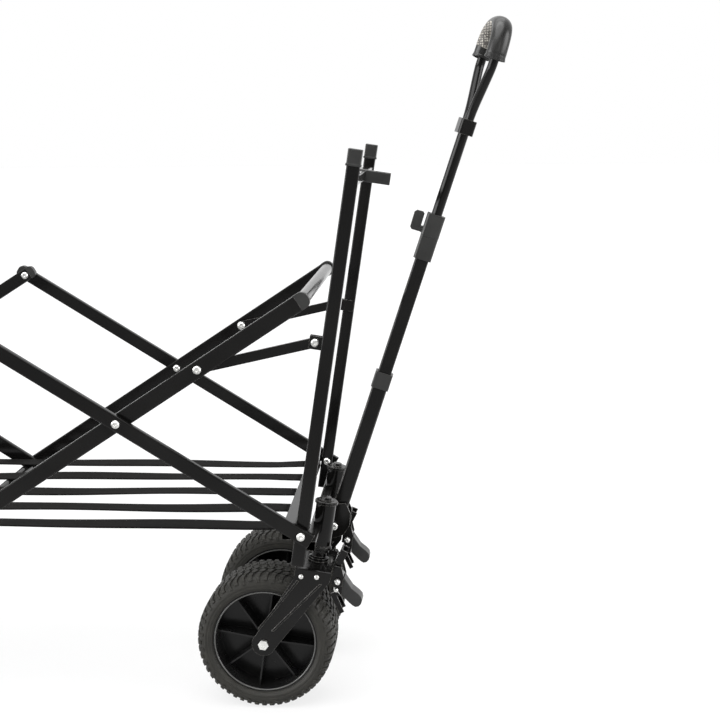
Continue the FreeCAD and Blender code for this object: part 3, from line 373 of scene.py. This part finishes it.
def woven_webbing(name="polyester_webbing"):
    """Flat woven polyester: fine cross ribs, lengthwise yarns and a soft sheen."""
    material, nodes, links, shader = new_material(name)
    coordinates = nodes.new("ShaderNodeTexCoord")
    waves = []
    for direction, scale, distortion in (("X", 150, 0.4), ("Y", 110, 0.6)):
        wave = nodes.new("ShaderNodeTexWave")
        wave.wave_type = "BANDS"
        wave.bands_direction = direction
        wave.inputs["Scale"].default_value = scale
        wave.inputs["Distortion"].default_value = distortion
        wave.inputs["Detail Scale"].default_value = 2
        links.new(coordinates.outputs["Object"], wave.inputs["Vector"])
        waves.append(wave.outputs["Fac"])
    weave = nodes.new("ShaderNodeMath")
    weave.operation = "MULTIPLY"
    links.new(waves[0], weave.inputs[0])
    links.new(waves[1], weave.inputs[1])
    cloud = noise_node(nodes, links, 22, 4, 0.6)
    tint = mix_colour(nodes, links, weave.outputs[0], (0.0010, 0.0009, 0.0008), (0.0030, 0.0026, 0.0023))
    links.new(mix_colour(nodes, links, ramp_node(nodes, links, cloud, 0.45, 0.8, 0, 0.5), tint,
                         (0.0036, 0.0031, 0.0027)), shader.inputs["Base Color"])
    shader.inputs["Roughness"].default_value = 0.72
    shader.inputs["Specular IOR Level"].default_value = 0.04
    shader.inputs["Sheen Weight"].default_value = 0.01
    shader.inputs["Sheen Roughness"].default_value = 0.5
    links.new(bump_node(nodes, links, weave.outputs[0], 0.5, 0.0004), shader.inputs["Normal"])
    return material


STEEL = painted_steel()
ZINC = zinc_steel()
RUBBER = tyre_rubber("tyre_rubber", 0.0)
# tread block tops: heavier pale colour, partly dust and partly painted light
TREAD_RUBBER = tyre_rubber("tread_rubber", 1.0)
HUB_PLASTIC = moulded_plastic("hub_plastic", (0.0060, 0.0060, 0.0060), 0.24, 0.12, level=0.22)
CAP_PLASTIC = moulded_plastic("cap_plastic", (0.015, 0.015, 0.0145), 0.36, 0.45, 900, 0.34)
GRIP_PLASTIC = moulded_plastic("grip_plastic", (0.009, 0.009, 0.0087), 0.26, 0.12, level=0.30)
# paler and glossier than the hub plastic: the paler colour is a painted highlight ring on the lip
LIP_PLASTIC_PAINTED_HIGHLIGHT = moulded_plastic("rim_lip_plastic", (0.045, 0.045, 0.043), 0.20, 0.08, level=0.7)
# the grip patch's pale colour is a painted highlight
PATCH_PAINTED_HIGHLIGHT = dotted_rubber()
WEBBING = woven_webbing()

BY_SLOT = {"black_steel": STEEL, "zinc_steel": ZINC, "tyre": RUBBER, "hub_plastic": HUB_PLASTIC,
           "dark_plastic": CAP_PLASTIC, "grip_plastic": GRIP_PLASTIC, "webbing": WEBBING}
for entry in frame["record"]["subparts"]:
    data = NODES[entry["node"]].data
    data.materials.clear()
    data.materials.append(BY_SLOT[entry["material_slot"]])


def paint_solids(node, materials, choose):
    """Gives each separate solid of a CAD node its own material; choose gets the solid's extents."""
    mesh = NODES[node].data
    mesh.materials.clear()
    for material in materials:
        mesh.materials.append(material)
    boxes = [(low, high, choose(high - low)) for low, high, _ in solids(node)]
    for face in mesh.polygons:
        at = np.array(face.center)
        inside = [(float(np.prod(high - low)), pick) for low, high, pick in boxes
                  if np.all(at > low - 1e-5) and np.all(at < high + 1e-5)]
        face.material_index = min(inside)[1]


for word in ("right", "left"):
    paint_solids(f"brake_pedal_{word}", [STEEL, CAP_PLASTIC, ZINC],
                 lambda extent: 0 if extent[2] > 0.08 else (1 if extent[0] > 0.025 else 2))
for word in ("front", "rear"):
    paint_solids(f"{word}_links", [STEEL, ZINC], lambda extent: int(extent[0] < 0.02))


# ------------------------------------------------------------------ tyres
TREAD_PITCHES = 54
TREAD_DEPTH = 2.3
OUTER = [(0, 110), (22, 110), (37, 109.4), (44, 108.2), (48.4, 106.2), (50.7, 103.4), (51.7, 100), (51.9, 96)]
CARCASS = [(0, 107.6), (22, 107.6), (37, 106.9), (43.6, 105.6), (47.4, 103.6), (49.8, 100.6), (51.0, 97.4),
           (51.5, 95.8), (51.9, 94.6), (51.4, 93.4), (51.1, 92.4), (51.7, 91.2), (51.8, 90.0), (51.3, 88.7),
           (50.4, 87.4), (49.6, 86.4), (49.3, 85.2), (48.2, 84.35), (45.4, 84.2), (45.2, 83.6)]


def wheel_axes(joint):
    """Centre, axle direction and the two directions of the wheel's own plane."""
    centre = Vector(JOINTS[joint]["pos_m"])
    axle = Vector(JOINTS[joint]["axis"]).normalized()
    up = (Vector((0, 0, 1)) - axle * axle.z).normalized()
    return centre, axle, up, axle.cross(up)


def on_wheel(axes, angle, radius, width):
    centre, axle, up, side = axes
    return centre + axle * (width * MM) + (up * math.cos(angle) + side * math.sin(angle)) * (radius * MM)


def revolve(axes, profile, steps, closed=False):
    """A surface of revolution: points (width, radius) in millimetres."""
    points, faces = [], []
    count = len(profile)
    for k in range(steps):
        angle = math.tau * k / steps
        points += [on_wheel(axes, angle, radius, width) for width, radius in profile]
    spans = count if closed else count - 1
    for k in range(steps):
        for j in range(spans):
            a, b = k * count + j, k * count + (j + 1) % count
            c, d = ((k + 1) % steps) * count + (j + 1) % count, ((k + 1) % steps) * count + j
            faces.append((a, b, c, d))
    return points, faces


def outer_at(distance):
    """Width, radius and outward normal on the tread surface, a distance from its middle line."""
    sign, left = (1 if distance >= 0 else -1), abs(distance)
    for (w0, r0), (w1, r1) in zip(OUTER, OUTER[1:]):
        length = math.hypot(w1 - w0, r1 - r0)
        if left <= length or (w1, r1) == OUTER[-1]:
            share = min(left / length, 1)
            width, radius = w0 + (w1 - w0) * share, r0 + (r1 - r0) * share
            normal = (-(r1 - r0) / length, (w1 - w0) / length)
            return width * sign, radius, (normal[0] * sign, normal[1])
        left -= length


def tread_block(axes, stations, centre_angle, points, faces, chamfer=0.45):
    """One moulded block. Stations are (distance across, start, end), with start and end in pitches."""
    pitch = math.tau / TREAD_PITCHES
    middle = 0.5 * (stations[0][0] + stations[-1][0])
    rings = []
    for depth, inset in ((TREAD_DEPTH + 0.6, -0.25), (0.5, 0.0), (0.0, chamfer)):
        left, right = [], []
        for k, (distance, start, end) in enumerate(stations):
            pull = inset if k in (0, len(stations) - 1) else 0
            moved = distance + (pull if distance < middle else -pull)
            width, radius, normal = outer_at(moved)
            width, radius = width - normal[0] * depth, radius - normal[1] * depth
            slack = inset / (radius * pitch)
            left.append(on_wheel(axes, centre_angle + (start + slack) * pitch, radius, width))
            right.append(on_wheel(axes, centre_angle + (end - slack) * pitch, radius, width))
        rings.append(left + right[::-1])
    base, size = len(points), len(rings[0])
    for ring in rings:
        points += ring
    for level in range(2):
        for k in range(size):
            a, b = base + level * size + k, base + level * size + (k + 1) % size
            faces.append((a, b, b + size, a + size))
    top, n = base + 2 * size, len(stations)
    for k in range(n - 1):
        faces.append((top + k, top + k + 1, top + size - 2 - k, top + size - 1 - k))


def build_tyre(name, joint, node, body, phase):
    axes = wheel_axes(joint)
    profile = [(-w, r) for w, r in reversed(CARCASS)] + CARCASS[1:]
    points, faces = revolve(axes, profile, 176)
    pitch = math.tau / TREAD_PITCHES
    for k in range(TREAD_PITCHES):
        angle = (k + phase) * pitch
        tread_block(axes, [(-9.5, -0.02, 0.62), (-4.5, 0.15, 0.84), (0, 0.30, 0.98), (4.5, 0.15, 0.84),
                           (9.5, -0.02, 0.62)], angle, points, faces)
        for sign in (-1, 1):
            mid = [(12.5, -0.12, 0.54), (17, -0.26, 0.42), (21, -0.20, 0.46), (26.5, -0.44, 0.22)]
            steps = [29.5, 33, 37, 41, 45, 48, 50.5, 57.0 if k % 2 else 53.5]
            shoulder = [(s, -0.50 - 0.10 * math.sin((s - 29) / 9) + 0.004 * (s - 30),
                         0.12 - 0.10 * math.sin((s - 29) / 9) - 0.003 * (s - 30)) for s in steps]
            for block in (mid, shoulder):
                stations = [(sign * s, a, b) for s, a, b in block]
                if sign < 0:
                    stations.reverse()
                tread_block(axes, stations, angle + (0.5 * pitch if sign < 0 else 0), points, faces)
    tyre = mesh_object(name, points, faces, RUBBER)
    tyre.data.materials.append(TREAD_RUBBER)
    smooth_count = 176 * (len(profile) - 1)
    flags = [k < smooth_count for k in range(len(tyre.data.polygons))]
    tyre.data.polygons.foreach_set("use_smooth", flags)
    centre, axle = axes[0], axes[1]
    # outward-facing tread block tops take the paler tread material, partly painted light
    for face in tyre.data.polygons:
        arm = face.center - centre
        spoke = arm - axle * arm.dot(axle)
        face.material_index = int(face.index >= smooth_count and face.normal.dot(spoke.normalized()) > 0.8)
    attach(tyre, body)
    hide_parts(node)
    return tyre


RIM_LIP = [(45.1, 79.4), (46.2, 79.5), (46.8, 80.3), (46.7, 81.3), (45.9, 82.0), (45.1, 82.2)]


def build_rim_lip(name, joint, body):
    """The thin rolled lip around the mouth of the wheel's dish, on both faces, in a paler plastic that paints its
    highlight ring.
    """
    axes = wheel_axes(joint)
    points, faces = [], []
    for sign in (1, -1):
        ring, spans = revolve(axes, [(sign * w, r) for w, r in RIM_LIP[::sign]], 128, closed=True)
        faces += [tuple(len(points) + k for k in face) for face in spans]
        points += ring
    lip = mesh_object(name, points, faces, LIP_PLASTIC_PAINTED_HIGHLIGHT, smooth=True)
    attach(lip, body)


for number, (where, word) in enumerate((f, w) for f in ("front", "rear") for w in ("right", "left")):
    build_rim_lip(f"{where}_rim_lip_{word}", f"{where}_wheel_spin_{word}", f"{where}_wheel_{word}")
    build_tyre(f"{where}_tyre_tread_{word}", f"{where}_wheel_spin_{word}", f"{where}_tyre_{word}",
               f"{where}_wheel_{word}", 0.27 * number)


def band(name, path, half_width, thickness, ripple, material=None, columns=8):
    """A flat strap along a path of points in the XZ plane at a side position y."""
    points, faces = [], []
    y0, line = path
    count = len(line)
    tangents = []
    for k in range(count):
        a, b = line[max(k - 1, 0)], line[min(k + 1, count - 1)]
        d = Vector((b[0] - a[0], 0, b[1] - a[1])).normalized()
        tangents.append(d)
    ring = []
    for j in range(columns + 1):
        ring.append((-1 + 2 * j / columns, 0.5))
    for j in range(columns, -1, -1):
        ring.append((-1 + 2 * j / columns, -0.5))
    size = len(ring)
    for k, (x, z) in enumerate(line):
        normal = Vector((-tangents[k].z, 0, tangents[k].x))
        for across, side in ring:
            thin = 0.55 if abs(across) > 0.99 else 1.0
            lift = ripple(x, across)
            point = Vector((x, y0 + across * half_width, z)) + normal * (side * thickness * thin + lift)
            points.append(point)
    for k in range(count - 1):
        for j in range(size):
            a, b = k * size + j, k * size + (j + 1) % size
            faces.append((a, b, b + size, a + size))
    faces.append(tuple(range(size - 1, -1, -1)))
    faces.append(tuple((count - 1) * size + j for j in range(size)))
    return mesh_object(name, points, faces, material or WEBBING, smooth=True)


def build_straps():
    boxes = sorted(solids("floor_straps"), key=lambda b: b[0][1])
    rail_low, rail_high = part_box("front_strap_rail")
    for number, (low, high, _) in enumerate(boxes, start=1):
        y0, half = (low[1] + high[1]) / 2, (high[1] - low[1]) / 2 - 0.0002
        z0, thick = (low[2] + high[2]) / 2, 0.0017
        middle_x, reach = (low[0] + high[0]) / 2, (high[0] - low[0]) / 2 - 0.0035
        seed = number * 1.7

        def ripple(x, across, seed=seed, reach=reach, middle_x=middle_x):
            fade = min(1.0, (reach - abs(x - middle_x)) / 0.05)
            wave = 0.0011 * math.sin(7.3 * x + seed) + 0.0008 * math.sin(17.0 * x + 2.1 * seed)
            edge = 0.0007 * math.sin(11.0 * x + 3 * seed) * across * abs(across)
            return (wave + edge) * max(fade, 0)

        steps = 150
        line = [(middle_x - reach + 2 * reach * k / steps, z0) for k in range(steps + 1)]
        strap = band(f"floor_strap_{number}", (y0, line), half, thick, ripple)
        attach(strap, "front_frame")
        if number == 1:
            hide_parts("floor_straps")
        for word, body, sign in (("front", "front_frame", 1), ("rear", "rear_frame", -1)):
            under = rail_low.z - 0.0012
            turned = [(0, 0), (0.0012, -0.0002), (0.0021, -0.0009), (0.0026, -0.0020), (0.0027, -0.0035),
                      (0.0027, under - z0 + 0.0030), (0.0032, under - z0 + 0.0012),
                      (0.0045, under - z0 + 0.0002),
                      (0.0065, under - z0), (0.0140, under - z0), (0.0220, under - z0)]
            end_line = [(middle_x + sign * (reach + dx), z0 + dz) for dx, dz in turned]
            end = band(f"floor_strap_{number}_{word}_end", (y0, end_line), half, thick * sign,
                       lambda x, a: 0.0)
            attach(end, body)
        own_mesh(strap)


# ------------------------------------------------------------------ pull handle details
POLE_AT = Vector(JOINTS["pole_tilt"]["pos_m"])
POLE_UP = Vector(JOINTS["pole_slide_lower"]["axis"]).normalized()
POLE_FRONT = Vector((POLE_UP.z, 0, -POLE_UP.x))
GRIP_START, GRIP_TWIST = 686.5, math.radians(11)
GRIP_HALF, GRIP_A, GRIP_B = 46, 16, 13
ARCH = [(46, 116), (46, 126), (36, 158), (0, 171), (-36, 158), (-46, 126), (-46, 116)]


def on_grip(x, y, z):
    """A point of the twisted handle frame, in millimetres above the end of the upper tube."""
    c, s = math.cos(GRIP_TWIST), math.sin(GRIP_TWIST)
    flat = POLE_FRONT * ((x * c - y * s) * MM) + Vector((0, (x * s + y * c) * MM, 0))
    return POLE_AT + flat + POLE_UP * ((GRIP_START + z) * MM)


def arch_at(t):
    """Point and outward direction on the grip's middle line; t runs 0 to 6 along ARCH."""
    k = min(max(int(t), 0), 5)
    u = t - k
    rows = [ARCH[min(max(k + d, 0), 6)] for d in (-1, 0, 1, 2)]
    spot, slope = [], []
    for a, b, c, d in zip(*rows):
        spot.append(0.5 * (2 * b + (c - a) * u + (2 * a - 5 * b + 4 * c - d) * u * u
                           + (3 * b - a - 3 * c + d) * u ** 3))
        slope.append(0.5 * ((c - a) + 2 * (2 * a - 5 * b + 4 * c - d) * u
                            + 3 * (3 * b - a - 3 * c + d) * u * u))
    length = math.hypot(*slope)
    out = (slope[1] / length, -slope[0] / length)
    if out[0] * spot[0] + out[1] * (spot[1] - 116) < 0:
        out = (-out[0], -out[1])
    return spot, out


def grip_point(t, angle, lift):
    spot, out = arch_at(t)
    x = (GRIP_A + lift) * math.cos(angle)
    radial = (GRIP_B + lift) * math.sin(angle)
    return on_grip(x, spot[0] + out[0] * radial, spot[1] + out[1] * radial)


def grid_faces(rows, columns, closed=False):
    faces = []
    for j in range(rows - 1):
        for k in range(columns if closed else columns - 1):
            a, b = j * columns + k, j * columns + (k + 1) % columns
            faces.append((a, b, b + columns, a + columns))
    return faces


def build_grip_details():
    """The flared lips at the two ends of the grip and the dotted rubber patch inside its arch, whose pale colour
    is a painted highlight.
    """
    for word, t0, sign in (("right", 6.0, -1), ("left", 0.0, 1)):
        lip = [(0.10, -1.5), (0.02, -0.6), (-0.02, 0.4), (0.03, 1.1), (0.14, 1.3), (0.30, 1.0), (0.55, 0.35),
               (0.80, -0.4)]
        points = [grip_point(t0 + sign * share, math.tau * k / 48, lift)
                  for share, lift in lip for k in range(48)]
        piece = mesh_object(f"grip_lip_{word}", points, grid_faces(len(lip), 48, True), GRIP_PLASTIC, True)
        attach(piece, "pole_upper")
    rows, columns = 40, 16
    points = []
    for j in range(rows):
        t = 1.25 + 2.1 * j / (rows - 1)
        for k in range(columns):
            edge = min(j, rows - 1 - j, k, columns - 1 - k)
            lift = -0.4 if edge == 0 else 0.7
            points.append(grip_point(t, math.radians(172 + 108 * k / (columns - 1)), lift))
    patch = mesh_object("grip_rubber_patch", points, grid_faces(rows, columns), PATCH_PAINTED_HIGHLIGHT, True)
    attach(patch, "pole_upper")


build_straps()
build_grip_details()
make_camera()
make_stage()
